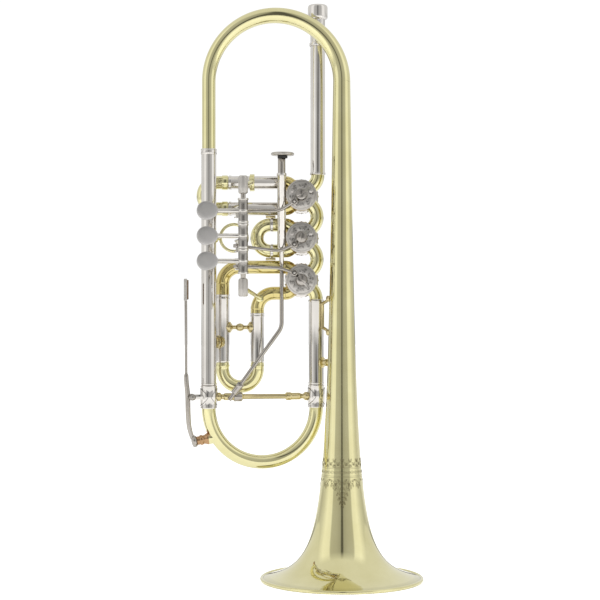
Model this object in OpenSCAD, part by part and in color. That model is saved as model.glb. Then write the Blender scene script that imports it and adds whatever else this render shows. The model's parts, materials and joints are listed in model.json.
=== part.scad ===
// Rotary-valve B flat trumpet, standing on its bell.
// Millimetres. +Z up, origin at the centre of the bell's mouth, +X towards the bell side,
// -Y towards the side the fingers work on. All air tubes are hollow.

/* [Bell] */
// Outer diameter of the bell's rolled rim
bell_d = 134; // [120:1:140]
// Length of the straight part of the bell, rim to bow
bell_length = 408.5; // [395:0.5:420]
// How fast the flare opens at the mouth, smaller is sharper
flare_start = 7.8; // [6:0.1:10]
// Power of the flare curve
flare_power = 0.56; // [0.52:0.01:0.6]
// Extra fullness half-way up the bell
flare_fullness = 0.45; // [0:0.05:0.8]
// Thickness of the bell sheet
bell_wall = 0.6; // [0.5:0.1:0.8]

/* [Main tubes] */
// Distance from the bell axis to the left main tube
body_width = 109; // [106:0.5:112]
// Outer radius of the bell bow where it meets the left tube
bow_small_r = 5.6; // [5.4:0.1:5.8]
// Outer radius of the fixed main-slide tubes
outer_tube_r = 6.2; // [6.1:0.05:6.4]
// Outer radius of the sliding legs inside them
inner_tube_r = 5.75; // [5.7:0.01:5.77]
// Wall of the drawn tubes
tube_wall = 0.42; // [0.3:0.02:0.5]
// Height of the main slide's gap above the bell rim
main_gap_z = 159.8; // [155:0.2:165]

/* [Valves] */
// Distance between neighbouring valves
valve_pitch = 35; // [34:0.5:36]
// Height of the middle valve
valve_mid_z = 281; // [275:1:285]
// Position of the valve axes across the body
valve_x = -33; // [-35:0.5:-31]
// Depth of the valve and slide plane behind the bell axis
valve_y = 14; // [13.6:0.2:15]
// Outer radius of a valve casing
casing_r = 12.3; // [12:0.1:12.6]
// Radius of a rotor
rotor_r = 10.5; // [10.2:0.1:10.6]
// Length of a valve casing
casing_length = 21; // [20:0.5:22]
// Outer radius of the valve slide tubes
valve_tube_r = 5.5; // [5.4:0.05:5.6]
// Half the distance between the two tubes of a valve slide
slide_half = 10.8; // [10.7:0.1:11]

/* [Levers] */
// Position of the lever axle across the body
axle_x = -80; // [-81:0.5:-79]
// Depth of the lever axle, in front of the bell axis
axle_y = -24; // [-25:0.5:-23]
// Radius of the lever axle
axle_r = 2; // [1.8:0.1:2.2]
// Reach of a lever from the axle to the middle of its paddle
paddle_reach = 29; // [28:0.5:30]
// Length of the crank that pushes the link
crank_length = 21.4; // [21:0.1:22]
// Distance of the ball joint from the rotor axis
ball_reach = 8.2; // [7.8:0.1:8.6]

/* [Slide trigger] */
// Position of the trigger rod across the body
trigger_x = -49.3; // [-50:0.1:-48.5]
// Depth of the trigger rod
trigger_y = 4.6; // [4.4:0.1:4.8]
// Radius of the trigger rod
trigger_rod_r = 1.65; // [1.5:0.05:1.8]

/* [Hidden] */
$fn = 48;

brass = [0.83, 0.68, 0.36];
nickel = [0.74, 0.72, 0.68];
satin = [0.66, 0.65, 0.63];
steel = [0.6, 0.6, 0.62];
cork = [0.45, 0.3, 0.2];

gap = 0.05;                          // running and solder clearance
bow_r = body_width / 2;              // centreline radius of the bell bow
left_x = -body_width;                // left main tube
right_x = -20.8;                     // right main tube
leadpipe_x = -19.5;                  // leadpipe
main_span = norm([right_x - left_x, valve_y]);        // width of the main slide
main_turn = atan2(valve_y, right_x - left_x);         // its turn out of the bell plane
port_out = 12.3;                     // distance of a port's outer end from the rotor axis
rotor_turn = 90;
link_y = -3;                         // plane of the links and ball joints
ball_offset = ball_reach * cos(45);
valve_z = [for (i = [1, 0, -1]) valve_mid_z + i * valve_pitch];
flip = [1, 1, -1];                   // the third valve is linked from above
crank_z = [302, 274, 257];           // height of each lever's crank pin

// ---------- helpers ----------

// hollow tube along +Z from z = 0
module tube(r, length, wall = tube_wall) {
    difference() {
        cylinder(r = r, h = length);
        translate([0, 0, -1]) cylinder(r = r - wall, h = length + 2);
    }
}

// lies a +Z shape along the line from a to b, and hands its children to it
module along(a, b) {
    d = b - a;
    translate(a) rotate([0, acos(d[2] / norm(d)), atan2(d[1], d[0])]) children();
}

// solid rod from a to b
module rod(a, b, r) {
    along(a, b) cylinder(r = r, h = norm(b - a));
}

// bent tube in a plane y = constant, from angle a0 to a1 about its centre
module bend(centre, bend_r, r, a0, a1, wall = tube_wall) {
    translate(centre) rotate([90, 0, 0]) rotate([0, 0, a0])
        rotate_extrude(angle = a1 - a0) translate([bend_r, 0]) difference() {
            circle(r = r);
            circle(r = r - wall);
        }
}

// solid version of bend(), to cut saddles with
module bend_core(centre, bend_r, r, a0, a1) {
    translate(centre) rotate([90, 0, 0]) rotate([0, 0, a0])
        rotate_extrude(angle = a1 - a0) translate([bend_r, 0]) circle(r = r);
}

// rounded ring about +Z, with its middle at z = 0
module ring(inner_r, outer_r, height) {
    round_r = min(height, outer_r - inner_r) * 0.3;
    rotate_extrude() polygon([
        [inner_r, -height / 2], [outer_r - round_r, -height / 2],
        for (a = [-60, -30, 0]) [outer_r + round_r * (cos(a) - 1), -height / 2 + round_r * (1 + sin(a))],
        for (a = [0, 30, 60]) [outer_r + round_r * (cos(a) - 1), height / 2 - round_r * (1 - sin(a))],
        [outer_r - round_r, height / 2], [inner_r, height / 2]
    ]);
}

// turned spindle about +Z through [radius, height] stations
module turned(stations) {
    last = len(stations) - 1;
    rotate_extrude() polygon([
        [0, stations[0][1]], for (s = stations) s, [0, stations[last][1]]
    ]);
}

// coil spring about +Z from z = 0, with a five-sided wire
module coil(coil_r, wire_r, length, turns) {
    steps = turns * 10;
    sides = 5;
    pitch = (length - 2 * wire_r) / steps;
    points = [
        for (i = [0:steps], k = [0:sides - 1])
            let (turn = i * turns * 360 / steps, side = k * 360 / sides, r = coil_r + wire_r * cos(side))
            [r * cos(turn), r * sin(turn), wire_r + i * pitch + wire_r * sin(side)]
    ];
    walls = [
        for (i = [0:steps - 1], k = [0:sides - 1])
            let (a = i * sides + k, b = i * sides + (k + 1) % sides)
            each [[a, a + sides, b + sides], [a, b + sides, b]]
    ];
    polyhedron(points, concat(walls, [
        [for (k = [0:sides - 1]) k],
        [for (k = [sides - 1:-1:0]) steps * sides + k]
    ]));
}

// ---------- bell ----------

bead_r = 1.5;                        // rolled rim
bead_z = 1.35;                       // its middle, so that its underside is a narrow flat
bead_ring_r = bell_d / 2 - bead_r;
flare_z = 1.9;                       // where the flare leaves the bead

function flare_r(z) = (bell_d / 2 - 1.4) * pow(flare_start / (z - flare_z + flare_start), flare_power)
    + flare_fullness * sin(180 * z / bell_length);
function flare_in(z) =
    let (s = (flare_r(z) - flare_r(z + 0.5)) / 0.5, n = norm([1, s]))
    [flare_r(z) - bell_wall / n, z - bell_wall * s / n];

module bell() {
    steps = 34;
    heights = [for (i = [0:steps]) flare_z + (bell_length - flare_z) * pow(i / steps, 2.3)];
    color(brass) difference() {
        union() {
            rotate_extrude() polygon(concat(
                [for (z = heights) [flare_r(z), z]],
                [[flare_in(bell_length)[0], bell_length]],
                [for (i = [steps - 1:-1:0]) flare_in(heights[i])]
            ));
            rotate_extrude() translate([bead_ring_r, bead_z]) circle(r = bead_r);
        }
        rotate_extrude() translate([bead_ring_r, bead_z]) circle(r = 1.05);
        translate([0, 0, -5]) cylinder(r = bell_d, h = 5);
    }
}

module bell_rim_wire() {
    color(steel) rotate_extrude() translate([bead_ring_r, bead_z]) circle(r = 1);
}

bell_tail_r = flare_r(bell_length);
bow_leg = 56;                        // straight left leg of the bell bow

// stations along the bow: turn about its centre, then distance down the left leg
bow_stations = concat([for (i = [0:26]) [180 * i / 26, 0]], [[180, bow_leg]]);

// ring of points round the bow at one station, thinned by trim
function bow_ring(s, sides, trim) =
    let (t = s[0], r = bell_tail_r + (bow_small_r - bell_tail_r) * t / 180 - trim,
         mid = [-bow_r + bow_r * cos(t), bell_length + bow_r * sin(t) - s[1]])
    [for (k = [0:sides - 1]) let (turn = k * 360 / sides)
        [mid[0] + r * cos(turn) * cos(t), -r * sin(turn), mid[1] + r * cos(turn) * sin(t)]];

module bell_bow() {
    sides = 24;
    rings = len(bow_stations);
    skin = rings * sides;
    points = concat(
        [for (s = bow_stations) each bow_ring(s, sides, 0)],
        [for (s = bow_stations) each bow_ring(s, sides, bell_wall)]
    );
    walls = [
        for (i = [0:rings - 2], k = [0:sides - 1])
            let (a = i * sides + k, b = i * sides + (k + 1) % sides)
            each [[a, b, b + sides, a + sides],
                  [skin + a, skin + a + sides, skin + b + sides, skin + b]]
    ];
    ends = [
        for (k = [0:sides - 1])
            let (b = (k + 1) % sides, last = (rings - 1) * sides)
            each [[k, skin + k, skin + b, b],
                  [last + b, skin + last + b, skin + last + k, last + k]]
    ];
    color(brass) polyhedron(points, concat(walls, ends));
}

left_top_z = bell_length - bow_leg;  // top of the left tube

module bell_bow_ferrule() {
    sleeve_r = outer_tube_r + gap + 0.3;
    color(nickel) translate([left_x, 0, left_top_z]) {
        translate([0, 0, -3.5]) tube(sleeve_r, 3.5, 0.3);
        translate([0, 0, 0.5]) ring(bow_small_r + gap, sleeve_r, 1);
    }
}

// ---------- fixed tubes ----------

module left_slide_tube() {
    color(nickel) translate([left_x, 0, main_gap_z]) {
        tube(outer_tube_r, left_top_z - main_gap_z - gap, outer_tube_r - inner_tube_r - gap);
        translate([0, 0, 0.9]) ring(outer_tube_r - 0.1, outer_tube_r + 0.35, 1.4);
    }
}

right_top_z = valve_z[2] - (right_x - valve_x) - 3.6;

module right_slide_tube() {
    color(nickel) translate([right_x, valve_y, main_gap_z]) {
        tube(outer_tube_r, right_top_z - main_gap_z - gap, outer_tube_r - inner_tube_r - gap);
        for (z = [0.9, right_top_z - main_gap_z - 1.4])
            translate([0, 0, z]) ring(outer_tube_r - 0.1, outer_tube_r + 0.35, 1.4);
    }
}

leadpipe_bottom_z = valve_z[0] + (leadpipe_x - valve_x) + 3.6;
receiver_bottom_z = 440;
receiver_top_z = 474;
leadpipe_r = 6.1;

module leadpipe() {
    color(nickel) translate([leadpipe_x, valve_y, 0]) {
        translate([0, 0, leadpipe_bottom_z + gap])
            tube(leadpipe_r, receiver_bottom_z - leadpipe_bottom_z - 2 * gap, 0.9);
        translate([0, 0, leadpipe_bottom_z + 1.2]) ring(leadpipe_r - 0.1, leadpipe_r + 0.4, 1.6);
    }
}

module mouthpiece_receiver() {
    shank_r = 4.85;
    shank_depth = 26;
    collar_z = 462.8;
    color(nickel) translate([leadpipe_x, valve_y, 0]) difference() {
        rotate_extrude() polygon([
            [0, receiver_bottom_z], [6.9, receiver_bottom_z], [6.9, receiver_bottom_z + 2.4],
            [6.15, receiver_bottom_z + 3.2], [6.15, collar_z - 1], [7, collar_z - 0.6],
            [7.9, collar_z], [8.25, collar_z + 1.4], [8.25, receiver_top_z - 3.4],
            for (a = [0, 30, 60, 90]) [6.4 + 1.85 * cos(a), receiver_top_z - 2.6 + 2.6 * sin(a)],
            [0, receiver_top_z]
        ]);
        translate([0, 0, receiver_top_z - shank_depth]) cylinder(r = shank_r, h = shank_depth + 1);
        translate([0, 0, receiver_bottom_z - 1]) cylinder(r = 4.4, h = 20);
    }
}

elbow_r = 12;                        // bend radius of the two valve elbows

// solid the size of a casing, to fit a pipe against it
module casing_core(i) {
    translate([valve_x, valve_y - 20, valve_z[i]]) rotate([-90, 0, 0]) cylinder(r = casing_r + gap, h = 40);
}

// elbow from the straight tube at x into a right-hand port of a valve; up is +1 or -1
module port_elbow(i, x, z, up) {
    difference() {
        bend([x - elbow_r, valve_y, z], elbow_r, valve_tube_r, up > 0 ? -66 : 0, up > 0 ? 0 : 66);
        casing_core(i);
    }
}

module leadpipe_elbow() {
    color(brass) port_elbow(0, leadpipe_x, leadpipe_bottom_z, 1);
}

module valve_exit_elbow() {
    color(brass) port_elbow(2, right_x, right_top_z, -1);
}

module valve_link_bows() {
    r = valve_pitch / sqrt(2) - port_out;
    color(brass) for (i = [0, 1]) difference() {
        bend([valve_x + 0.4, valve_y, valve_z[i] - valve_pitch / 2], r, valve_tube_r, -64, 64);
        casing_core(i);
        casing_core(i + 1);
    }
}

// ---------- valves ----------

module at_valve(i) {
    translate([valve_x, valve_y, valve_z[i]]) rotate([-90, 0, 0]) children();
}

knee_r = 5.8;                        // tight bend between a left-hand port and its slide tube
knee_x = valve_x - slide_half - knee_r * tan(22.5);   // where the slide tubes run level
// distance from a rotor's axis at which a left-hand slide tube's knee begins
knee_port = slide_half * sqrt(2) - knee_r * tan(22.5);

module casing(i) {
    port_r = 4.9;
    color(brass) difference() {
        union() {
            at_valve(i) for (end = [0, 1.5]) translate([0, 0, end - casing_length / 2])
                cylinder(r = casing_r - 0.5 + end / 3, h = casing_length - 2 * end);
            for (turn = [-45, -135]) translate([valve_x, valve_y, valve_z[i]]) rotate([0, turn, 0])
                cylinder(r = 6, h = knee_port - gap);
        }
        at_valve(i) translate([0, 0, -casing_length / 2 - 1])
            cylinder(r = rotor_r + gap, h = casing_length + 2);
        for (turn = [45:90:315]) translate([valve_x, valve_y, valve_z[i]]) rotate([0, turn, 0])
            cylinder(r = port_r, h = casing_r + 5);
    }
}

spindle_r = 3;
front_y = valve_y - casing_length / 2;    // front face of the casings

// engraved front plate with the rotor's front bearing
module rotor_front_plates() {
    color(satin) for (i = [0:2]) translate([valve_x, front_y, valve_z[i]]) rotate([90, 0, 0])
        difference() {
            union() {
                translate([0, 0, gap]) cylinder(r = 12.6, h = 1.9);
                translate([0, 0, 1.9]) cylinder(r = 11.6, h = 0.45);
            }
            translate([0, 0, -1]) cylinder(r = spindle_r + gap, h = 6);
        }
}

module rotor_back_plates() {
    color(brass) for (i = [0:2]) at_valve(i) translate([0, 0, casing_length / 2 - 2]) difference() {
        cylinder(r = rotor_r, h = 2);
        translate([0, 0, -1]) cylinder(r = spindle_r + gap, h = 4);
    }
}

cap_r = 14.6;

module rotor_back_caps() {
    color(nickel) for (i = [0:2]) at_valve(i) translate([0, 0, casing_length / 2 + gap]) difference() {
        union() {
            cylinder(r = cap_r - 0.5, h = 4);
            translate([0, 0, 4]) cylinder(r = cap_r - 1.6, h = 0.8);
            for (k = [0:23]) rotate([0, 0, k * 15]) translate([cap_r - 0.6, 0, 0.5]) cylinder(r = 0.6, h = 3);
        }
        translate([0, 0, -1]) cylinder(r = 9, h = 3.5);
    }
}

module rotor(i) {
    passage_r = 4.1;
    half = casing_length / 2 - 2 - gap;
    color(brass) difference() {
        union() {
            at_valve(i) translate([0, 0, -casing_length / 2 + gap])
                cylinder(r = rotor_r, h = half + casing_length / 2 - 2 * gap);
            at_valve(i) translate([0, 0, -casing_length / 2 - 2.6])
                cylinder(r = spindle_r, h = casing_length + 4);
        }
        for (side = [0, 180]) translate([valve_x, valve_y, valve_z[i]]) rotate([0, side, 0])
            bend_core([14.8, 0, 0], 10.4, passage_r, 110, 250);
        at_valve(i) translate([0, 0, -casing_length / 2 - 4]) cylinder(r = 1.55, h = 8);
    }
}

arm_y = front_y - 2.75;              // back face of the stop arms

// crank on the front end of a rotor, with the ball of the link joint and a stop tail
module stop_arm(i) {
    thick = 2;
    turn = flip[i] > 0 ? 225 : 135;
    color(satin) translate([valve_x, arm_y, valve_z[i]]) rotate([90, 0, 0]) difference() {
        union() {
            cylinder(r = 4.7, h = thick);
            rotate([0, 0, turn]) translate([0, -1.9, 0]) cube([ball_reach, 3.8, thick]);
            rotate([0, 0, turn]) translate([ball_reach, 0, 0]) cylinder(r = 1.9, h = thick);
            rotate([0, 0, turn]) translate([ball_reach, 0, 0]) cylinder(r = 0.9, h = arm_y - link_y);
            rotate([0, 0, turn]) translate([ball_reach, 0, arm_y - link_y]) sphere(r = 1.6);
            rotate([0, 0, turn + 180]) translate([0, -1.3, 0]) cube([9, 2.6, thick]);
        }
        translate([0, 0, -1]) cylinder(r = 1.6, h = thick + 2);
    }
}

module stop_screw(i) {
    head = 1.7;
    slot_turn = [35, 75, -40];
    color(steel) translate([valve_x, arm_y - 2 - gap, valve_z[i]]) rotate([90, 0, 0]) difference() {
        union() {
            cylinder(r = 4, h = head - 0.4);
            translate([0, 0, head - 0.5]) cylinder(r = 3.5, h = 0.5);
            translate([0, 0, -4.5]) cylinder(r = 1.5, h = 5);
        }
        rotate([0, 0, slot_turn[i]]) translate([-6, -0.4, head - 0.8]) cube([12, 0.8, 2]);
    }
}

// cork bumpers that the stop arms' tails land on at each end of a quarter turn
module stop_corks() {
    color(cork) for (i = [0:2]) for (end = [-23, rotor_turn + 23])
        translate([valve_x, front_y - 2.4, valve_z[i]]) rotate([90, 0, 0])
            rotate([0, 0, flip[i] > 0 ? 45 + end : 315 - end])
                translate([8.4, 0, 0]) cylinder(r = 1.7, h = 2);
}

// ---------- valve slides ----------

leg_r = 4.95;                        // outer radius of the sliding legs
socket_wall = valve_tube_r - leg_r - gap;

// fixed tube from a left-hand port of a valve out to x_end; side +1 is the upper one
module level_tube(i, side, x_end) {
    z = valve_z[i] + side * slide_half;
    bend([knee_x, valve_y, z - side * knee_r], knee_r, valve_tube_r,
        side > 0 ? 45 : 270, side > 0 ? 90 : 315, socket_wall);
    translate([x_end, valve_y, z]) rotate([0, 90, 0]) tube(valve_tube_r, knee_x - x_end - gap, socket_wall);
}

// raised ring round a level tube
module level_ring(x, z, height) {
    translate([x, valve_y, z]) rotate([0, 90, 0]) ring(valve_tube_r - 0.1, valve_tube_r + 0.5, height);
}

slide_1_home_x = -93.2;
slide_1_bow_x = -103.6;

module slide_1_outer_tubes() {
    color(nickel) for (side = [1, -1]) {
        level_tube(0, side, slide_1_home_x);
        level_ring(slide_1_home_x + 1.1, valve_z[0] + side * slide_half, 2.2);
    }
}

slide_2_home_x = -58.6;

module slide_2_outer_tubes() {
    color(brass) for (side = [1, -1]) {
        level_tube(1, side, slide_2_home_x);
        level_ring(slide_2_home_x + 1.1, valve_z[1] + side * slide_half, 2.2);
    }
}

slide_3_left_x = -98.3;
slide_3_right_x = -69.6;
slide_3_knee = 13.5;
slide_3_home_z = 178.2;
slide_3_bow_z = 172.2;

// one outer tube of the third slide: level tube, knee and downward socket; its two upper rings
// lie ring_drop below the knee
module slide_3_branch(side, x, ring_drop) {
    z = valve_z[2] + side * slide_half;
    drop = z - slide_3_knee - slide_3_home_z;
    level_tube(2, side, x + slide_3_knee + gap);
    bend([x + slide_3_knee, valve_y, z - slide_3_knee], slide_3_knee, valve_tube_r, 90, 180, socket_wall);
    translate([x, valve_y, slide_3_home_z]) {
        tube(valve_tube_r, drop - gap, socket_wall);
        for (s = [0.9, drop - ring_drop[1], drop - ring_drop[0]])
            translate([0, 0, s]) ring(valve_tube_r - 0.1, valve_tube_r + 0.3, 0.9);
    }
}

module slide_3_outer_tubes() {
    color(nickel) {
        slide_3_branch(1, slide_3_left_x, [9.6, 12.6]);
        slide_3_branch(-1, slide_3_right_x, [3.4, 5.4]);
    }
}

module leg_pair_x(x0, x1, z) {
    color(nickel) for (side = [1, -1]) translate([x0, valve_y, z + side * slide_half])
        rotate([0, 90, 0]) tube(leg_r, x1 - x0, 0.35);
}

// U bow at the end of a valve slide, open towards +X, with end ferrules
module slide_bow_x(x, home_x, z) {
    color(brass) {
        bend([x, valve_y, z], slide_half, valve_tube_r, 90, 270, socket_wall);
        for (side = [1, -1]) translate([x, valve_y, z + side * slide_half]) rotate([0, 90, 0])
            tube(valve_tube_r, home_x - x - 0.3, socket_wall);
    }
}

module slide_1_legs() {
    leg_pair_x(slide_1_bow_x + gap, -62, valve_z[0]);
}

module slide_1_bow() {
    slide_bow_x(slide_1_bow_x, slide_1_home_x, valve_z[0]);
    color(brass) for (side = [1, -1])
        translate([slide_1_home_x - 3.2, valve_y, valve_z[0] + side * slide_half]) rotate([0, 90, 0])
            ring(valve_tube_r - 0.1, valve_tube_r + 0.6, 4.6);
}

module slide_2_legs() {
    leg_pair_x(slide_2_home_x - 0.3, knee_x - 0.8, valve_z[1]);
}

module slide_2_bow() {
    color(brass) bend([slide_2_home_x - 0.4, valve_y, valve_z[1]], slide_half, valve_tube_r, 90, 270);
}

module slide_3_legs() {
    color(nickel) for (x = [slide_3_left_x, slide_3_right_x])
        translate([x, valve_y, slide_3_bow_z + gap]) tube(leg_r, 38, 0.35);
}

slide_3_mid_x = (slide_3_left_x + slide_3_right_x) / 2;

module slide_3_bow() {
    color(brass) {
        bend([slide_3_mid_x, valve_y, slide_3_bow_z], slide_3_mid_x - slide_3_left_x, valve_tube_r,
            180, 360, socket_wall);
        for (x = [slide_3_left_x, slide_3_right_x]) translate([x, valve_y, slide_3_bow_z])
            tube(valve_tube_r, slide_3_home_z - slide_3_bow_z - 0.3, socket_wall);
        for (x = [slide_3_left_x, slide_3_right_x])
            translate([x, valve_y, slide_3_home_z - 3]) ring(valve_tube_r - 0.1, valve_tube_r + 0.3, 1.6);
    }
}

// ---------- stays and braces ----------

// turned distance piece between two tubes
module spool(a, b, r, foot_r) {
    length = norm(b - a);
    along(a, b) turned([
        [foot_r, 0], [foot_r, 1], [r, 2], [r, length / 2 - 1.2], [r + 1.1, length / 2 - 0.5],
        [r + 1.1, length / 2 + 0.5], [r, length / 2 + 1.2], [r, length - 2], [foot_r, length - 1],
        [foot_r, length]
    ]);
}

module bell_core(trim) {
    rotate_extrude() polygon(concat([[0, 150]],
        [for (z = [150:10:250]) [flare_r(z) + trim, z]], [[0, 250]]));
}

module bell_stays() {
    wire_r = 1.3;
    high = 230.6;
    low = 203;
    post = [right_x + 5.2, valve_y - 5.2];       // where the bent wire lies on the right tube
    near = [-9, -1];                             // where its ends reach the bell
    color(brass) difference() {
        union() {
            rod([post[0], post[1], low + 4], [post[0], post[1], high - 4], wire_r);
            for (z = [high, low]) {
                lean = z == high ? -4 : 4;
                rod([post[0], post[1], z + lean], [near[0], near[1], z], wire_r);
                translate([post[0], post[1], z + lean]) sphere(r = wire_r + 0.15);
                along([near[0] - 2.4, near[1] + 1.8, z], [near[0], near[1], z]) cylinder(r = 2.6, h = 3);
            }
            spool([right_x + 4.6, valve_y - 3.1, 178], [-8, 5.4, 178], 2, 4.6);
        }
        bell_core(gap);
        translate([right_x, valve_y, 0]) cylinder(r = outer_tube_r + 0.02, h = 300);
    }
}

module slide_braces() {
    color(brass) {
        for (i = [0, 1]) {
            low = valve_z[i + 1] + slide_half;
            high = valve_z[i] - slide_half;
            difference() {
                translate([-62.5, valve_y - 2, (low + high) / 2 - 2.6]) cube([8, 4, 5.2]);
                for (z = [low, high]) translate([-70, valve_y, z]) rotate([0, 90, 0])
                    cylinder(r = valve_tube_r + 0.62, h = 30);
            }
        }
        difference() {
            along([slide_3_left_x + 3, valve_y, 207], [slide_3_right_x - 3, valve_y, 207]) {
                length = slide_3_right_x - slide_3_left_x - 6;
                turned([[4.6, 0], [4.6, 3.4], [1.6, 5.4], [1.6, length / 2 - 3.4], [2.8, length / 2 - 2],
                    [3.3, length / 2], [2.8, length / 2 + 2], [1.6, length / 2 + 3.4], [1.6, length - 5.4],
                    [4.6, length - 3.4], [4.6, length]]);
            }
            for (x = [slide_3_left_x, slide_3_right_x]) translate([x, valve_y, 190])
                cylinder(r = valve_tube_r + gap, h = 40);
        }
        // stay from the left tube to the third slide
        difference() {
            along([left_x + 3, 3.9, 195], [slide_3_left_x - 2, valve_y - 3, 195])
                turned([[5.4, 0], [5.4, 4.4], [1.8, 5.6], [5.4, 6.6], [5.4, 9.5]]);
            translate([left_x, 0, 180]) cylinder(r = outer_tube_r + gap, h = 30);
            translate([slide_3_left_x, valve_y, 180]) cylinder(r = valve_tube_r + gap, h = 30);
        }
    }
}

ring_centre = [-88.6, 3, valve_mid_z - 0.3];

module finger_ring() {
    wire_r = 1.25;
    ring_r = 11;
    color(brass) difference() {
        union() {
            translate(ring_centre) rotate([90, 0, 0])
                rotate_extrude() translate([ring_r, 0]) circle(r = wire_r);
            along([left_x + 4, 2, ring_centre[2]], [ring_centre[0] - ring_r - 0.4, 3, ring_centre[2]])
                turned([[4, 0], [4, 2.6], [1.6, 4.2], [1.4, 5.4]]);
        }
        translate([left_x, 0, 250]) cylinder(r = outer_tube_r + gap, h = 60);
    }
}

// ---------- lever rack ----------

hub_r = 3.9;
hub_z = [291.5, 271, 250.5];         // underside of each lever's hub
hub_length = 20.3;

module lever_axle() {
    color(steel) translate([axle_x, axle_y, 234]) cylinder(r = axle_r, h = 95);
}

module axle_end_caps() {
    barrel_r = 3.9;
    color(satin) for (z = [315.2, 232.4]) translate([axle_x, axle_y, z]) difference() {
        union() {
            turned([[barrel_r - 1, 0], [barrel_r - 0.2, 0.8], [barrel_r - 0.2, 13.6], [barrel_r - 1, 14.6]]);
            for (k = [0:17]) rotate([0, 0, k * 20]) translate([barrel_r - 0.35, 0, 1.4])
                cylinder(r = 0.35, h = 11.6);
        }
        translate([0, 0, 1.4]) cylinder(r = axle_r + 0.02, h = 20);
        if (z > 300) translate([0, 0, -1]) cylinder(r = axle_r + 0.02, h = 14.8);
    }
}

module rack_posts() {
    foot_x = -73.8;
    top_z = valve_z[0] + slide_half;
    color(brass) difference() {
        union() {
            translate([foot_x, valve_y, top_z]) rotate([0, 90, 0])
                ring(valve_tube_r + 0.02, valve_tube_r + 1.6, 4);
            rod([foot_x, valve_y - 6.5, top_z], [axle_x + 1, axle_y, 322], 1.8);
            along([-66.4, valve_y - 3, 230.6], [-68.5, valve_y - 12, 231.6]) cylinder(r = 3, h = 4.6);
            rod([-66.9, valve_y - 6.6, 230.9], [axle_x + 1, axle_y, 239], 1.6);
        }
        for (z = [315, 232]) translate([axle_x, axle_y, z]) cylinder(r = hub_r + gap, h = 15);
        bend_core([slide_3_right_x + slide_3_knee, valve_y, valve_z[2] - slide_half - slide_3_knee],
            slide_3_knee, valve_tube_r + gap, 85, 185);
        translate([-100, valve_y, top_z]) rotate([0, 90, 0]) cylinder(r = valve_tube_r + 0.02, h = 60);
    }
}

paddle_z = [301.4, 281.2, 260.9];
raise = 7;                           // how far the paddles stand up at rest

// lever: hub on the axle, egg-shaped paddle, and a crank with the pin that moves the link
module lever(i) {
    // the link's eye slides on the pin: down for valves 1 and 2, up for valve 3
    plate_rise = flip[i] > 0 ? 3 : 4.6;
    head_drop = flip[i] > 0 ? 5.3 : 3;
    crank_dir = [-ball_offset, sqrt(crank_length * crank_length - ball_offset * ball_offset)];
    pin = [crank_dir[0], crank_dir[1], crank_z[i]];
    plate_z = crank_z[i] + plate_rise;
    color(nickel) translate([axle_x, axle_y, 0]) {
        difference() {
            union() {
                translate([0, 0, hub_z[i]]) cylinder(r = hub_r, h = hub_length);
                for (z = [0.9, hub_length - 0.9]) translate([0, 0, hub_z[i] + z]) ring(3, hub_r + 0.45, 1.8);
                translate([0, 0, paddle_z[i]]) ring(3, hub_r + 0.4, 2);
            }
            translate([0, 0, hub_z[i] - 1]) cylinder(r = axle_r + gap, h = hub_length + 2);
            translate([0, 0, hub_z[i] + 3]) cylinder(r = 3.25, h = hub_length - 6);
        }
        difference() {
            union() {
                rotate([0, 0, 180 + raise]) translate([0, 0, paddle_z[i]]) rotate([0, 90, 0])
                    cylinder(r = 1.9, h = paddle_reach - 2);
                translate([0, 0, plate_z]) rotate([0, 0, atan2(pin[1], pin[0])])
                    translate([0, -2, 0]) cube([crank_length, 4, 2]);
                translate([pin[0], pin[1], plate_z]) cylinder(r = 2, h = 2);
            }
            translate([0, 0, hub_z[i] - 5]) cylinder(r = hub_r - 0.3, h = hub_length + 10);
        }
        translate([pin[0], pin[1], crank_z[i] - head_drop]) {
            cylinder(r = 1, h = head_drop + plate_rise + 1);
            cylinder(r = 2.3, h = 1);
        }
    }
    color(satin) translate([axle_x, axle_y, paddle_z[i]]) rotate([0, 0, 180 + raise])
        translate([paddle_reach, 1.2, 0]) rotate([-90, 0, 0]) hull() {
            translate([1, 0, 0]) cylinder(r = 7.5, h = 1, $fn = 32);
            translate([-2.6, 0, 0]) cylinder(r = 6, h = 1, $fn = 32);
            translate([-0.5, 0, 0.4]) cylinder(r = 5.4, h = 1, $fn = 32);
        }
}

module lever_springs() {
    color(steel) for (i = [0:2]) translate([axle_x, axle_y, hub_z[i] + 4])
        coil(2.65, 0.4, 12, 5);
}

link_knee_z = [302.6, 269.6, 255.9];      // height of the bend in each link

// link from a lever's crank pin to the ball on the stop arm, bent once on its way
module link(i) {
    rod_r = 1.3;
    half = 1.5;
    eye = [axle_x - ball_offset, link_y, crank_z[i]];
    ball = [valve_x - ball_offset, link_y, valve_z[i] - flip[i] * ball_offset];
    knee = [-51, link_y, link_knee_z[i]];
    color(nickel) difference() {
        union() {
            rod(eye, knee, rod_r);
            rod(knee, ball, rod_r);
            translate(knee + [0, half, 0]) rotate([90, 0, 0]) cylinder(r = rod_r + 0.4, h = 2 * half);
            translate(eye - [0, 0, half]) cylinder(r = 3, h = 2 * half);
            translate(ball + [0, half, 0]) rotate([90, 0, 0]) cylinder(r = 2.6, h = 2 * half);
        }
        translate(eye - [0, 0, 2]) cylinder(r = 2.05, h = 4);
        translate(ball + [0, 2, 0]) rotate([90, 0, 0]) cylinder(r = 1.6 + gap, h = 4);
    }
}

// ---------- main tuning slide ----------

leg_top_z = 222;
bow_z = 140.8;

// puts its children in the main slide's own frame: x runs from the left leg to the right one
module at_main_slide() {
    translate([left_x, 0, 0]) rotate([0, 0, main_turn]) children();
}

module main_slide_legs() {
    color(nickel) at_main_slide() {
        translate([0, 0, bow_z + 5]) tube(inner_tube_r, 150);
        translate([main_span, 0, bow_z + 5]) tube(inner_tube_r, leg_top_z - bow_z - 5);
    }
}

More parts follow.
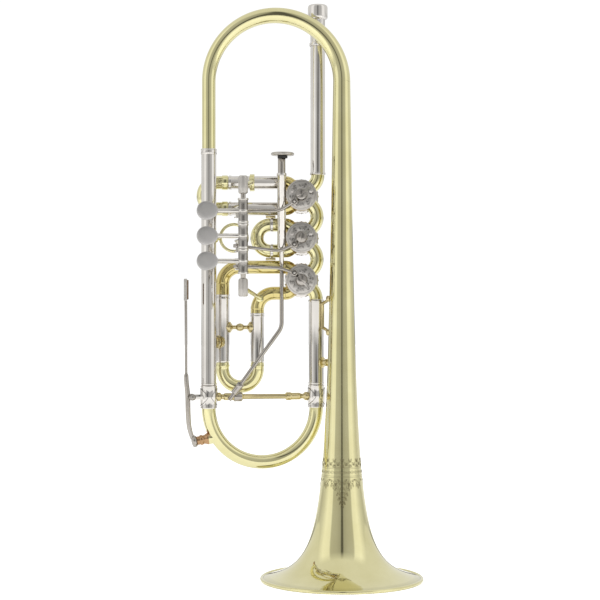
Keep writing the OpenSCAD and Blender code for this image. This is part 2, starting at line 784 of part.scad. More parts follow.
ferrule_r = 6.75;
foot_r = ferrule_r + 0.35;           // over the oval feet of brace and water key

module main_slide_ferrules() {
    height = main_gap_z - bow_z - 0.4;
    color(nickel) at_main_slide() for (x = [0, main_span]) translate([x, 0, bow_z]) difference() {
        union() {
            cylinder(r = ferrule_r, h = height);
            for (z = [0.6, height - 0.6]) translate([0, 0, z]) ring(ferrule_r - 0.1, ferrule_r + 0.2, 1);
            intersection() {
                cylinder(r = foot_r, h = height);
                translate([-20, 0, height / 2]) rotate([0, 90, 0]) cylinder(r = 7, h = 40);
            }
            if (x == 0) key_post(key_pivot[1] - bow_z);
        }
        translate([0, 0, -1]) cylinder(r = inner_tube_r + gap, h = height + 2);
    }
}

// two cheeks and a pin that carry the water key, at height z on the left ferrule
module key_post(z) {
    cheek = 1.4;
    inner_y = 3.3;
    for (y = [inner_y, -inner_y - cheek]) translate([key_pivot[0], y, z]) {
        translate([0, cheek, 0]) rotate([90, 0, 0]) cylinder(r = 2.3, h = cheek);
        translate([0, 0, -1.9]) cube([-key_pivot[0] - 5, cheek, 3.8]);
    }
    translate([key_pivot[0], inner_y + cheek + 0.5, z]) rotate([90, 0, 0])
        cylinder(r = 1.2, h = 2 * (inner_y + cheek + 0.5));
}

key_pivot = [-13.6, 150.1];          // x and z in the main slide's frame
nipple_turn = 212;                   // where round the bow the nipple stands
nipple = [main_span / 2 * (1 + cos(nipple_turn)), bow_z + main_span / 2 * sin(nipple_turn)];
nipple_dip = 10;                     // how far the nipple points below level
nipple_length = 17;

// puts its children on the nipple's line, with +Z outwards along it from its face
module at_nipple_face() {
    at_main_slide() translate([nipple[0], 0, nipple[1]]) rotate([0, -90 - nipple_dip, 0])
        translate([0, 0, nipple_length]) children();
}

module main_slide_bow() {
    color(brass) difference() {
        union() {
            at_main_slide() bend([main_span / 2, 0, bow_z], main_span / 2, inner_tube_r, 180, 360);
            at_main_slide() for (x = [0, main_span]) translate([x, 0, bow_z]) tube(inner_tube_r, 4.9);
            difference() {
                at_nipple_face() turned([[4.7, -nipple_length], [4.7, -8.6], [4, -7.6], [3.5, -5.8],
                    [4.1, -4.8], [4.1, -3.4], [3.5, -2.8], [3.5, 0]]);
                at_main_slide() bend_core([main_span / 2, 0, bow_z], main_span / 2,
                    inner_tube_r - tube_wall, 180, 360);
            }
        }
        at_nipple_face() translate([0, 0, -nipple_length]) cylinder(r = 2, h = nipple_length + 1);
    }
}

brace_z = bow_z + 9.3;

module main_slide_brace() {
    color(brass) at_main_slide() translate([0, 0, brace_z]) rotate([0, 90, 0]) difference() {
        turned([
            [3.6, 5], [3.6, 9.4], [2.2, 10.4], [2.2, 12], [3, 13], [3, 27.4], [2.1, 28.6],
            [2.1, main_span - 26], [3.4, main_span - 25], [3.4, main_span - 22],
            [2.9, main_span - 20.5], [2.9, main_span - 14], [2.1, main_span - 12.5],
            [2.1, main_span - 11], [3.6, main_span - 9.4], [3.6, main_span - 5]
        ]);
        for (x = [0, main_span]) translate([20, 0, x]) rotate([0, -90, 0])
            cylinder(r = foot_r + gap, h = 40);
    }
}

// ---------- slide trigger ----------

guide_top_z = 334;
guide_floor_z = 274;
plunger_foot_z = 318;
rod_knee = [trigger_x, trigger_y, 206.6];
rod_tip = [-92.2, -2.6, 147.6];

module trigger_guide_tube() {
    color(nickel) difference() {
        union() {
            translate([trigger_x, trigger_y, 0]) difference() {
                union() {
                    turned([[1.9, 258.4], [1.9, 268], [2.4, 269], [3.6, 273], [3.6, guide_top_z]]);
                    translate([0, 0, guide_top_z - 1]) ring(3.5, 4.1, 2);
                }
                translate([0, 0, guide_floor_z]) cylinder(r = 3.25, h = 100);
                translate([0, 0, 250]) cylinder(r = trigger_rod_r + gap, h = 40);
            }
            for (z = [valve_z[0] - slide_half, valve_z[1] + slide_half])
                translate([trigger_x - 2, trigger_y + 2.6, z - 2.5]) cube([4, 5, 5]);
        }
        for (z = [valve_z[0] - slide_half, valve_z[1] + slide_half]) translate([-70, valve_y, z])
            rotate([0, 90, 0]) cylinder(r = valve_tube_r + gap, h = 40);
        translate([trigger_x, trigger_y, guide_floor_z]) cylinder(r = 3.25, h = 100);
    }
}

module trigger_spring() {
    color(steel) translate([trigger_x, trigger_y, guide_floor_z + gap])
        coil(2.45, 0.45, plunger_foot_z - guide_floor_z - 2 * gap, 13);
}

module trigger_rod() {
    color(steel) {
        translate([trigger_x, trigger_y, 0])
            turned([[trigger_rod_r, rod_knee[2]], [trigger_rod_r, plunger_foot_z], [3.18, plunger_foot_z],
                [3.18, 346.2]]);
        translate(rod_knee) sphere(r = trigger_rod_r + 0.15);
        rod(rod_knee, rod_tip, trigger_rod_r);
    }
}

module trigger_button() {
    color(satin) translate([trigger_x + 0.7, trigger_y, 0])
        turned([[3.4, 348.5], [9, 348.5], [9.6, 349.2], [9.6, 350.2], [8.8, 351]]);
    color("black") translate([trigger_x + 0.7, trigger_y, 346.3]) cylinder(r = 4.1, h = 2.15);
}

// block that clamps the trigger rod to the main slide's brace
module trigger_clamp() {
    t = 0.84;                        // share of the slanted rod above the clamp
    mid = rod_knee + (rod_tip - rod_knee) * t;
    along_brace = (mid[0] - left_x) / cos(main_turn);
    color(nickel) difference() {
        union() {
            translate([left_x, 0, brace_z]) rotate([0, 0, main_turn]) rotate([0, 90, 0])
                translate([0, 0, along_brace - 3.2]) cylinder(r = 4, h = 6.4);
            along(mid - (rod_tip - rod_knee) * 0.07, mid + (rod_tip - rod_knee) * 0.07)
                cylinder(r = 2.9, h = norm(rod_tip - rod_knee) * 0.14);
            translate(mid + [1.6, -1.4, 3]) rotate([90, 0, 0]) cylinder(r = 2.4, h = 3);
        }
        along(rod_knee, rod_tip) cylinder(r = trigger_rod_r + gap, h = 100);
        translate([left_x, 0, brace_z]) rotate([0, 0, main_turn]) rotate([0, 90, 0]) translate([0, 0, 10])
            cylinder(r = 3 + gap, h = 40);
        translate(mid + [-0.8, -5.2, 2.6]) cube([5, 1.4, 0.8]);
    }
}

// ---------- water key ----------

module water_key_lever() {
    arm_r = 1.9;
    wire_r = 1.1;
    wire = [[-19, 230], [-18.6, 162]];
    arm = [wire[1], [-17.2, 150], [-17, 136], [-15.9, 124], [-13.2, 115.6]];
    cup_r = 5;
    color(nickel) difference() {
        union() {
            at_main_slide() {
                rod([wire[0][0], 0, wire[0][1]], [wire[1][0], 0, wire[1][1]], wire_r);
                for (i = [0:len(arm) - 2])
                    rod([arm[i][0], 0, arm[i][1]], [arm[i + 1][0], 0, arm[i + 1][1]], arm_r);
                for (p = arm) translate([p[0], 0, p[1]]) sphere(r = arm_r + 0.15);
                translate([key_pivot[0], 3.2, key_pivot[1]]) rotate([90, 0, 0]) cylinder(r = 2.8, h = 6.4);
                translate([wire[0][0] - 1.1, -3, 229]) cube([2.2, 6, 18]);
            }
            at_nipple_face() translate([0, 0, 0.8]) cylinder(r = cup_r, h = 3);
        }
        at_main_slide() translate([key_pivot[0], 5, key_pivot[1]]) rotate([90, 0, 0])
            cylinder(r = 1.25, h = 10);
        at_nipple_face() translate([0, 0, -4]) cylinder(r = cup_r - 0.7, h = 6.5);
    }
}

module water_key_cork() {
    color(cork) at_nipple_face() translate([0, 0, gap]) cylinder(r = 4.2, h = 2.4);
}

// ---------- the trumpet ----------

bell();
bell_rim_wire();
bell_bow();
bell_bow_ferrule();
left_slide_tube();
right_slide_tube();
leadpipe();
mouthpiece_receiver();
leadpipe_elbow();
casing(0);  // valve_1_casing
casing(1);  // valve_2_casing
casing(2);  // valve_3_casing
valve_link_bows();
valve_exit_elbow();
slide_1_outer_tubes();
slide_2_outer_tubes();
slide_3_outer_tubes();
bell_stays();
slide_braces();
finger_ring();
trigger_guide_tube();
trigger_spring();
lever_axle();
axle_end_caps();
rack_posts();
rotor_front_plates();
rotor_back_plates();
rotor_back_caps();
stop_corks();
lever_springs();
rotor(0);  // rotor_1
rotor(1);  // rotor_2
rotor(2);  // rotor_3
stop_arm(0);  // stop_arm_1
stop_arm(1);  // stop_arm_2
stop_arm(2);  // stop_arm_3
stop_screw(0);  // stop_screw_1
stop_screw(1);  // stop_screw_2
stop_screw(2);  // stop_screw_3
lever(0);  // lever_1
lever(1);  // lever_2
lever(2);  // lever_3
link(0);  // link_1
link(1);  // link_2
link(2);  // link_3
slide_1_legs();
slide_1_bow();
slide_2_legs();
slide_2_bow();
slide_3_legs();
slide_3_bow();
main_slide_legs();
main_slide_ferrules();
main_slide_bow();
main_slide_brace();
trigger_rod();
trigger_button();
trigger_clamp();
water_key_lever();
water_key_cork();
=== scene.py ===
"""Looks of the rotary-valve trumpet: smooth metal pieces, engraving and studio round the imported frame."""
import json
import math

import bpy
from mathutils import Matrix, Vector


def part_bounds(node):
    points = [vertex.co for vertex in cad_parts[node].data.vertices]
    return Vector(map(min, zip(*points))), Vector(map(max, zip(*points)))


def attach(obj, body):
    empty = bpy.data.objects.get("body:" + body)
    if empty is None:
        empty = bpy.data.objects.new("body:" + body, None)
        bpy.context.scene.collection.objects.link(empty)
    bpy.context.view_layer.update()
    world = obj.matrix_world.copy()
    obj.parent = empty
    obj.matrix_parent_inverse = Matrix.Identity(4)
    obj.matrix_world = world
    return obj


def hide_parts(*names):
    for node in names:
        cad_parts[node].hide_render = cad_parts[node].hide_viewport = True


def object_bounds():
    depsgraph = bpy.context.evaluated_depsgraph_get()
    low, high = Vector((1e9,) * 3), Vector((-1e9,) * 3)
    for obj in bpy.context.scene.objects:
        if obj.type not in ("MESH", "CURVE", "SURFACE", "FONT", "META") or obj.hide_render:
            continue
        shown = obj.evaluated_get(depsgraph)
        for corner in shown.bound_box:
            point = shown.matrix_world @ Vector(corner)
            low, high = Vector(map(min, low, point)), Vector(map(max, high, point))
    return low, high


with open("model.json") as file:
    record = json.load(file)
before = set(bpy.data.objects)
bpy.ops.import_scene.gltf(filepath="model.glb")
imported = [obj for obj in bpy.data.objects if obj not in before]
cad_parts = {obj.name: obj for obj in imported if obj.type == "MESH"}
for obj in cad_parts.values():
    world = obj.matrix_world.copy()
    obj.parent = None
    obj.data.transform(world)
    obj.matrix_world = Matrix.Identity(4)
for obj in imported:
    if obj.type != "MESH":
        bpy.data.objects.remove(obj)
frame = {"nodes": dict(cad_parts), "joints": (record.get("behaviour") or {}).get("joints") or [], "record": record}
cad_low, cad_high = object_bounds()

MM = 0.001
NODES = frame["nodes"]


# ---------- places, read from the frame ----------

def middle(node):
    """Centre of a CAD node's box."""
    low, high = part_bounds(node)
    return (low + high) / 2


BELL_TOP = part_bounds("bell")[1].z
BELL_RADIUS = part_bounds("bell")[1].x
LEFT_X = middle("left_slide_tube").x
BOW_RADIUS = -LEFT_X / 2
VALVES = [middle(f"valve_{i}_casing") for i in (1, 2, 3)]
VALVE_X = middle("rotor_front_plates").x
PLATE_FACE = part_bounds("rotor_front_plates")[0].y
AXLE = middle("lever_axle")


# ---------- materials ----------

class Nodes:
    """Short way to add and join shader nodes."""

    def __init__(self, name):
        self.material = bpy.data.materials.new(name)
        self.material.use_nodes = True
        self.tree = self.material.node_tree
        self.shader = self.tree.nodes["Principled BSDF"]
        self.place = self.add("ShaderNodeTexCoord").outputs["Object"]

    def add(self, kind, **values):
        node = self.tree.nodes.new(kind)
        for key, value in values.items():
            if key in node.inputs:
                node.inputs[key].default_value = value
            else:
                setattr(node, key, value)
        return node

    def link(self, source, target):
        self.tree.links.new(source, target)

    def noise(self, scale, detail=3.0, roughness=0.55):
        node = self.add("ShaderNodeTexNoise", Scale=scale, Detail=detail, Roughness=roughness)
        self.link(self.place, node.inputs["Vector"])
        return node.outputs["Fac"]

    def ramp(self, value, low, high, dark, light):
        node = self.add("ShaderNodeValToRGB")
        node.color_ramp.elements[0].position = low
        node.color_ramp.elements[1].position = high
        node.color_ramp.elements[0].color = dark
        node.color_ramp.elements[1].color = light
        self.link(value, node.inputs["Fac"])
        return node.outputs["Color"]

    def bump(self, height, strength, distance):
        node = self.add("ShaderNodeBump", Strength=strength, Distance=distance)
        self.link(height, node.inputs["Height"])
        self.link(node.outputs["Normal"], self.shader.inputs["Normal"])
        return node


def grey(value):
    return (value, value, value, 1)


def metal(name, color, tarnish, rough, variation=0.05, scratch=0.02, coat=0.0):
    """Polished metal with cloudy tarnish, painted shade darkening its hollows and creases (edges keep the full
    colour), and fine polishing marks.
    """
    n = Nodes(name)
    n.shader.inputs["Metallic"].default_value = 1.0
    clouds = n.ramp(n.noise(38, 4), 0.35, 0.75, (*tarnish, 1), (*color, 1))
    geometry = n.add("ShaderNodeNewGeometry")
    # Painted shade: pointiness darkens hollows and creases down to half the colour; convex edges stay at full
    # colour.
    edge = n.ramp(geometry.outputs["Pointiness"], 0.42, 0.495, grey(0.5), grey(1.0))
    mix = n.add("ShaderNodeMix", data_type="RGBA", blend_type="MULTIPLY")
    mix.inputs["Factor"].default_value = 0.7
    n.link(clouds, mix.inputs["A"])
    n.link(edge, mix.inputs["B"])
    n.link(mix.outputs["Result"], n.shader.inputs["Base Color"])
    smear = n.ramp(n.noise(95, 5), 0.3, 0.8, grey(rough), grey(rough + variation))
    n.link(smear, n.shader.inputs["Roughness"])
    n.bump(n.noise(2600, 2), scratch, 0.02 * MM)
    if coat:
        n.shader.inputs["Coat Weight"].default_value = coat
        n.shader.inputs["Coat Roughness"].default_value = 0.03
    return n.material


def brushed(name, color, tarnish, rough, scale, strength):
    """Satin metal with cloudy tarnish and fine brush marks."""
    n = Nodes(name)
    n.shader.inputs["Metallic"].default_value = 1.0
    stretch = n.add("ShaderNodeMapping")
    stretch.inputs["Scale"].default_value = (1, 1, 14)
    n.link(n.place, stretch.inputs["Vector"])
    lines = n.add("ShaderNodeTexNoise", Scale=scale, Detail=3.0)
    n.link(stretch.outputs["Vector"], lines.inputs["Vector"])
    clouds = n.ramp(n.noise(120, 5), 0.3, 0.72, (*tarnish, 1), (*color, 1))
    n.link(clouds, n.shader.inputs["Base Color"])
    n.link(n.ramp(lines.outputs["Fac"], 0.3, 0.7, grey(rough - 0.06), grey(rough + 0.08)),
           n.shader.inputs["Roughness"])
    n.bump(lines.outputs["Fac"], strength, 0.05 * MM)
    return n.material


def cork_material():
    n = Nodes("cork")
    grain = n.add("ShaderNodeTexVoronoi", Scale=1400.0)
    n.link(n.place, grain.inputs["Vector"])
    n.link(n.ramp(grain.outputs["Distance"], 0.05, 0.6, (0.045, 0.032, 0.022, 1), (0.17, 0.115, 0.075, 1)),
           n.shader.inputs["Base Color"])
    n.shader.inputs["Roughness"].default_value = 0.85
    n.bump(grain.outputs["Distance"], 0.5, 0.2 * MM)
    return n.material


def rubber_material():
    n = Nodes("rubber")
    n.link(n.ramp(n.noise(300, 4), 0.3, 0.8, (0.012, 0.012, 0.012, 1), (0.035, 0.034, 0.032, 1)),
           n.shader.inputs["Base Color"])
    n.shader.inputs["Roughness"].default_value = 0.6
    n.bump(n.noise(1800, 3), 0.25, 0.1 * MM)
    return n.material


BRASS = metal("lacquered_brass", (0.78, 0.735, 0.43), (0.71, 0.66, 0.36), 0.05, coat=0.3)
GOLD = metal("gold_brass", (0.72, 0.63, 0.29), (0.62, 0.51, 0.2), 0.07, coat=0.3)
RAW = metal("raw_brass", (0.66, 0.52, 0.27), (0.45, 0.34, 0.17), 0.28)
NICKEL = metal("nickel_silver", (0.77, 0.745, 0.71), (0.68, 0.65, 0.61), 0.07)
DARK_NICKEL = metal("dark_nickel", (0.46, 0.44, 0.42), (0.36, 0.34, 0.31), 0.12)
STEEL = metal("steel", (0.5, 0.47, 0.44), (0.4, 0.37, 0.33), 0.16)
COPPER = metal("copper", (0.5, 0.31, 0.17), (0.4, 0.24, 0.12), 0.14)
ROSE = metal("rose_brass", (0.68, 0.59, 0.33), (0.55, 0.46, 0.25), 0.1)
SATIN = brushed("satin_silver", (0.6, 0.575, 0.54), (0.5, 0.475, 0.44), 0.36, 700.0, 0.25)
PADDLE = brushed("paddle_silver", (0.52, 0.505, 0.495), (0.46, 0.45, 0.435), 0.4, 900.0, 0.2)
CUT = metal("engraved_line", (0.3, 0.27, 0.16), (0.2, 0.17, 0.09), 0.4)
CUT_SATIN = metal("engraved_line_silver", (0.14, 0.13, 0.12), (0.08, 0.075, 0.07), 0.45)
CORK = cork_material()
RUBBER = rubber_material()

BY_SLOT = {
    "lacquered_brass": BRASS, "nickel_silver": NICKEL, "satin_silver": SATIN,
    "raw_brass": RAW, "steel": STEEL, "cork": CORK,
}


# ---------- mesh helpers ----------

def mesh_piece(name, verts, faces, material, body, slot, smooth_angle=40):
    """New piece from points and faces, shaded smooth except at real edges, riding on a body."""
    mesh = bpy.data.meshes.new(name)
    mesh.from_pydata([tuple(v) for v in verts], [], faces)
    mesh.update()
    mesh.materials.append(material)
    piece = bpy.data.objects.new(name, mesh)
    bpy.context.scene.collection.objects.link(piece)
    shade(piece, smooth_angle)
    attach(piece, body)
    return piece


def shade(piece, angle):
    mesh = piece.data
    mesh.polygons.foreach_set("use_smooth", [True] * len(mesh.polygons))
    mesh.set_sharp_from_angle(angle=math.radians(angle))


def frames_along(points):
    """Tangent and two cross directions at each point, carried along without twist."""
    result = []
    side = None
    for i, point in enumerate(points):
        tangent = (points[min(i + 1, len(points) - 1)] - points[max(i - 1, 0)]).normalized()
        if side is None:
            guess = Vector((0, 1, 0)) if abs(tangent.y) < 0.9 else Vector((1, 0, 0))
            side = guess.cross(tangent).normalized()
        side = (side - tangent * side.dot(tangent)).normalized()
        result.append((tangent, side, tangent.cross(side)))
    return result


def sweep(points, radii, sides=32, bore=0.0):
    """Points and faces of a round tube along points; with a bore its ends show the wall's thickness."""
    verts, faces = [], []
    axes = frames_along(points)

    def ring(point, axis, radius):
        first = len(verts)
        for k in range(sides):
            turn = 2 * math.pi * k / sides
            verts.append(point + radius * (math.cos(turn) * axis[1] + math.sin(turn) * axis[2]))
        return first

    def bridge(a, b):
        for k in range(sides):
            n = (k + 1) % sides
            faces.append((a + k, a + n, b + n, b + k))

    rings = [ring(p, a, r) for p, a, r in zip(points, axes, radii)]
    for a, b in zip(rings, rings[1:]):
        bridge(a, b)
    if bore:
        inner = [ring(p, a, max(r - bore, r * 0.3)) for p, a, r in zip(points, axes, radii)]
        for a, b in zip(inner, inner[1:]):
            bridge(b, a)
        bridge(inner[0], rings[0])
        bridge(rings[-1], inner[-1])
    else:
        faces.append(tuple(rings[0] + k for k in range(sides - 1, -1, -1)))
        faces.append(tuple(rings[-1] + k for k in range(sides)))
    return verts, faces


def lathe(profile, origin, axis, sides=64):
    """Points and faces of a closed profile of (radius, height) turned about a line."""
    axis = Vector(axis).normalized()
    side = (Vector((0, 1, 0)) if abs(axis.y) < 0.9 else Vector((1, 0, 0))).cross(axis).normalized()
    other = axis.cross(side)
    verts, faces = [], []
    for k in range(sides):
        turn = 2 * math.pi * k / sides
        out = math.cos(turn) * side + math.sin(turn) * other
        verts += [Vector(origin) + out * r + axis * h for r, h in profile]
    count = len(profile)
    for k in range(sides):
        a, b = k * count, ((k + 1) % sides) * count
        for i in range(count):
            n = (i + 1) % count
            faces.append((a + i, b + i, b + n, a + n))
    return verts, faces


def in_mm(profile):
    return [(r * MM, z * MM) for r, z in profile]


def join(*parts):
    """One list of points and faces from several."""
    verts, faces = [], []
    for part_verts, part_faces in parts:
        base = len(verts)
        verts += part_verts
        faces += [tuple(i + base for i in f) for f in part_faces]
    return verts, faces


def curve_through(points, steps=8):
    """Smooth curve through a few points."""
    pts = [points[0]] + list(points) + [points[-1]]
    result = []
    for i in range(1, len(pts) - 2):
        p0, p1, p2, p3 = pts[i - 1:i + 3]
        for s in range(steps):
            t = s / steps
            result.append(0.5 * (2 * p1 + (p2 - p0) * t + (2 * p0 - 5 * p1 + 4 * p2 - p3) * t * t
                                 + (3 * p1 - p0 - 3 * p2 + p3) * t ** 3))
    result.append(points[-1])
    return result


# ---------- bell ----------

RIM_TOP = 3.2 * MM                     # below this the outline is the rolled bead
SAME_HEIGHT = 0.2 * MM                 # corners nearer than this belong to one station
STRAIGHT = 0.004 * MM                  # a station this near the line between its neighbours is left out


def bell_outline():
    """Outer radius of the CAD bell by height, from the faces that look outwards."""
    corners = []
    mesh = NODES["bell"].data
    for polygon in mesh.polygons:
        out = Vector((polygon.center.x, polygon.center.y, 0)).normalized()
        if polygon.normal.dot(out) > 0.03 and polygon.normal.z > -0.2:
            for i in polygon.vertices:
                co = mesh.vertices[i].co
                if co.z > RIM_TOP:
                    corners.append((co.z, math.hypot(co.x, co.y)))
    corners.sort()
    stations = []
    for z, r in corners:
        if stations and z - stations[-1][0] < SAME_HEIGHT:
            if r > stations[-1][1]:
                stations[-1] = (z, r)
        else:
            stations.append((z, r))
    turning = [stations[0]]
    for (z0, r0), (z1, r1), (z2, r2) in zip(stations, stations[1:], stations[2:]):
        area = abs((r1 - r0) * (z2 - z0) - (r2 - r0) * (z1 - z0))
        if area > STRAIGHT * math.hypot(z2 - z0, r2 - r0):
            turning.append((z1, r1))
    return turning + [stations[-1]]


def smooth_outline(stations, steps=5):
    """Finer stations through the outline, on cubic pieces whose slopes allow for uneven spacing."""
    points = [Vector((r, z)) for z, r in stations]
    spans = [(b - a).length for a, b in zip(points, points[1:])]
    chords = [(b - a) / span for a, b, span in zip(points, points[1:], spans)]
    slopes = [chords[0]]
    for before, after, s0, s1 in zip(chords, chords[1:], spans, spans[1:]):
        slopes.append((before * s1 + after * s0) / (s0 + s1))
    slopes.append(chords[-1])
    fine = []
    for i, span in enumerate(spans):
        for k in range(steps):
            t = k / steps
            spot = (points[i] * (2 * t ** 3 - 3 * t * t + 1) + slopes[i] * span * (t ** 3 - 2 * t * t + t)
                    + points[i + 1] * (3 * t * t - 2 * t ** 3) + slopes[i + 1] * span * (t ** 3 - t * t))
            fine.append((spot.x, spot.y))
    fine.append((points[-1].x, points[-1].y))
    return fine


OUTLINE = smooth_outline(bell_outline())


def bell_radius(z):
    """Bell's outer radius at a height, between the outline's stations."""
    if z <= OUTLINE[0][1]:
        return OUTLINE[0][0]
    for (r0, z0), (r1, z1) in zip(OUTLINE, OUTLINE[1:]):
        if z <= z1:
            return r0 + (r1 - r0) * (z - z0) / (z1 - z0)
    return OUTLINE[-1][0]


RIM_Z = 1.35 * MM
BEAD = 1.5 * MM
BELL_WALL = 0.6 * MM


def make_bell():
    """Spun bell with a rolled rim, smooth enough for a mirror finish."""
    ring = BELL_RADIUS - BEAD
    bead = []
    for k in range(25):
        turn = math.radians(148 - 290 * k / 24)
        bead.append((ring + BEAD * math.cos(turn), RIM_Z + BEAD * math.sin(turn)))
    inner = []
    for (r, z), (next_r, next_z) in zip(OUTLINE, OUTLINE[1:]):
        slope = (r - next_r) / (next_z - z)
        slant = math.hypot(1, slope)
        inner.append((r - BELL_WALL / slant, z - BELL_WALL * slope / slant))
    top_r, top_z = OUTLINE[-1]
    inner.append((top_r - BELL_WALL, top_z))
    inner = [p for p in inner if p[1] > RIM_Z]
    profile = list(reversed(bead)) + OUTLINE + list(reversed(inner))
    bell = mesh_piece("bell_skin", *lathe(profile, (0, 0, 0), (0, 0, 1), 160), BRASS, "horn",
                      "lacquered_brass", 50)
    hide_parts("bell")


def make_bow():
    """Tapered bow from the bell to the left main tube."""
    centre = Vector((-BOW_RADIUS, 0, BELL_TOP))
    wide = bell_radius(BELL_TOP)
    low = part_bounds("bell_bow")[0]
    narrow = LEFT_X - low.x
    points, radii = [], []
    for k in range(97):
        turn = math.pi * k / 96
        points.append(centre + BOW_RADIUS * Vector((math.cos(turn), 0, math.sin(turn))))
        radii.append(wide + (narrow - wide) * k / 96)
    for k in range(1, 9):
        points.append(Vector((LEFT_X, 0, BELL_TOP - (BELL_TOP - low.z) * k / 8)))
        radii.append(narrow)
    bow = mesh_piece("bell_bow_skin", *sweep(points, radii, 64, BELL_WALL), BRASS, "horn",
                     "lacquered_brass", 50)
    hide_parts("bell_bow")


make_bell()
make_bow()


# ---------- dressing the CAD nodes ----------

def bind(node, material):
    """Gives a CAD node its material, welded shading and tiny rounded edges."""
    piece = NODES[node]
    piece.data.materials.clear()
    piece.data.materials.append(material)
    for polygon in piece.data.polygons:
        polygon.material_index = 0
        polygon.use_smooth = True
    weld = piece.modifiers.new("weld", "WELD")
    weld.merge_threshold = 0.002 * MM
    bevel = piece.modifiers.new("edge", "BEVEL")
    bevel.width = 0.12 * MM
    bevel.segments = 2
    bevel.limit_method = "ANGLE"
    bevel.angle_limit = math.radians(38)
    bevel.use_clamp_overlap = True
    bevel.harden_normals = True


def recolor(node, material, test):
    """Gives the faces of a CAD node whose centre passes the test another material."""
    mesh = NODES[node].data
    mesh.materials.append(material)
    index = len(mesh.materials) - 1
    for polygon in mesh.polygons:
        if test(polygon.center):
            polygon.material_index = index


SLOTS = {part["node"]: part["material_slot"] for part in frame["record"]["subparts"]}
for node in NODES:
    bind(node, BY_SLOT[SLOTS[node]])

KNEE_X = -56 * MM                      # slides 1 and 2 change metal here
SLIDE_3_MID = middle("slide_3_bow").x
SLIDE_3_LEFT_RING = 234.4 * MM         # top ring lines of the third slide's two legs
SLIDE_3_RIGHT_RING = 218.9 * MM
NIPPLE_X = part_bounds("main_slide_bow")[0].x + 11 * MM
NIPPLE_Z = 122 * MM
WASHER_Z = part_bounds("trigger_button")[0].z + 2.2 * MM
CORK_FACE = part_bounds("stop_corks")[0].y + 0.6 * MM
HUB_RADIUS = 4.05 * MM


def on_slide_3_bends(c):
    """True above the third slide's top ring lines, which stand at other heights on its two legs."""
    return c.z > (SLIDE_3_LEFT_RING if c.x < SLIDE_3_MID else SLIDE_3_RIGHT_RING)


def on_lever_hub(c):
    return math.hypot(c.x - AXLE.x, c.y - AXLE.y) < HUB_RADIUS


recolor("slide_1_outer_tubes", GOLD, lambda c: c.x > KNEE_X)
recolor("slide_2_outer_tubes", NICKEL, lambda c: c.x < KNEE_X)
recolor("slide_3_outer_tubes", GOLD, on_slide_3_bends)
recolor("main_slide_bow", COPPER, lambda c: c.x < NIPPLE_X and c.z < NIPPLE_Z)
recolor("trigger_button", RUBBER, lambda c: c.z < WASHER_Z)
for node in ("bell_stays", "slide_braces", "main_slide_brace"):
    recolor(node, ROSE, lambda c: True)
recolor("trigger_clamp", STEEL, lambda c: True)
recolor("stop_corks", SATIN, lambda c: c.y < CORK_FACE)
for node in ("lever_1", "lever_2", "lever_3"):
    recolor(node, DARK_NICKEL, on_lever_hub)


# ---------- smooth moving pieces ----------

def part_box(node, test):
    """Lowest and highest corner of those of a CAD node's points that pass the test."""
    points = [v.co for v in NODES[node].data.vertices if test(v.co)]
    low = Vector(min(p[k] for p in points) for k in range(3))
    high = Vector(max(p[k] for p in points) for k in range(3))
    return low, high


def part_middle(node, test):
    low, high = part_box(node, test)
    return (low + high) / 2


def rounded(a, knee, b, reach):
    """Points of a wire from a to b with a soft bend at the knee."""
    first = knee + (a - knee).normalized() * reach
    last = knee + (b - knee).normalized() * reach
    points = [a + (first - a) * t / 6 for t in range(6)]
    for i in range(11):
        t = i / 10
        points.append(first * (1 - t) ** 2 + knee * 2 * t * (1 - t) + last * t * t)
    return points + [last + (b - last) * t / 6 for t in range(1, 7)]


def band(inner, outer, half, soft):
    """Profile of a ring with soft edges."""
    nick = 0.3 * soft
    return [(inner, -half), (outer - soft, -half), (outer - nick, -half + nick), (outer, -half + soft),
            (outer, half - soft), (outer - nick, half - nick), (outer - soft, half), (inner, half)]


def make_links():
    for i in (1, 2, 3):
        node = f"link_{i}"
        low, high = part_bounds(node)
        level = (low.y + high.y) / 2
        eye_z = part_middle(node, lambda c: c.x < low.x + 5.9 * MM).z
        eye = Vector((low.x + 3 * MM, level, eye_z))
        ball_z = part_middle(node, lambda c: c.x > high.x - 2.4 * MM).z
        ball = Vector((high.x - 2.6 * MM, level, ball_z))
        knee_x = ball.x - 12.2 * MM
        knee = Vector((knee_x, level, part_middle(node, lambda c: abs(c.x - knee_x) < 1.75 * MM).z))
        start = eye + (knee - eye).normalized() * 2.5 * MM
        end = ball + (knee - ball).normalized() * 2.2 * MM
        points = rounded(start, knee, end, 4.5 * MM)
        last = len(points) - 1
        radii = [(1.32 + 0.2 * max(0, 1 - min(k, last - k) / 3)) * MM for k in range(last + 1)]
        rod = sweep(points, radii, 24)
        eye_ring = lathe(in_mm(band(1.9, 3.02, 1.5, 0.3)), eye, (0, 0, 1), 48)
        ball_ring = lathe(in_mm(band(1.66, 2.65, 1.5, 0.35)), ball, (0, 1, 0), 48)
        link = mesh_piece(f"link_{i}_skin", *join(rod, eye_ring, ball_ring), STEEL, node, "nickel_silver", 45)
        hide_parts(node)


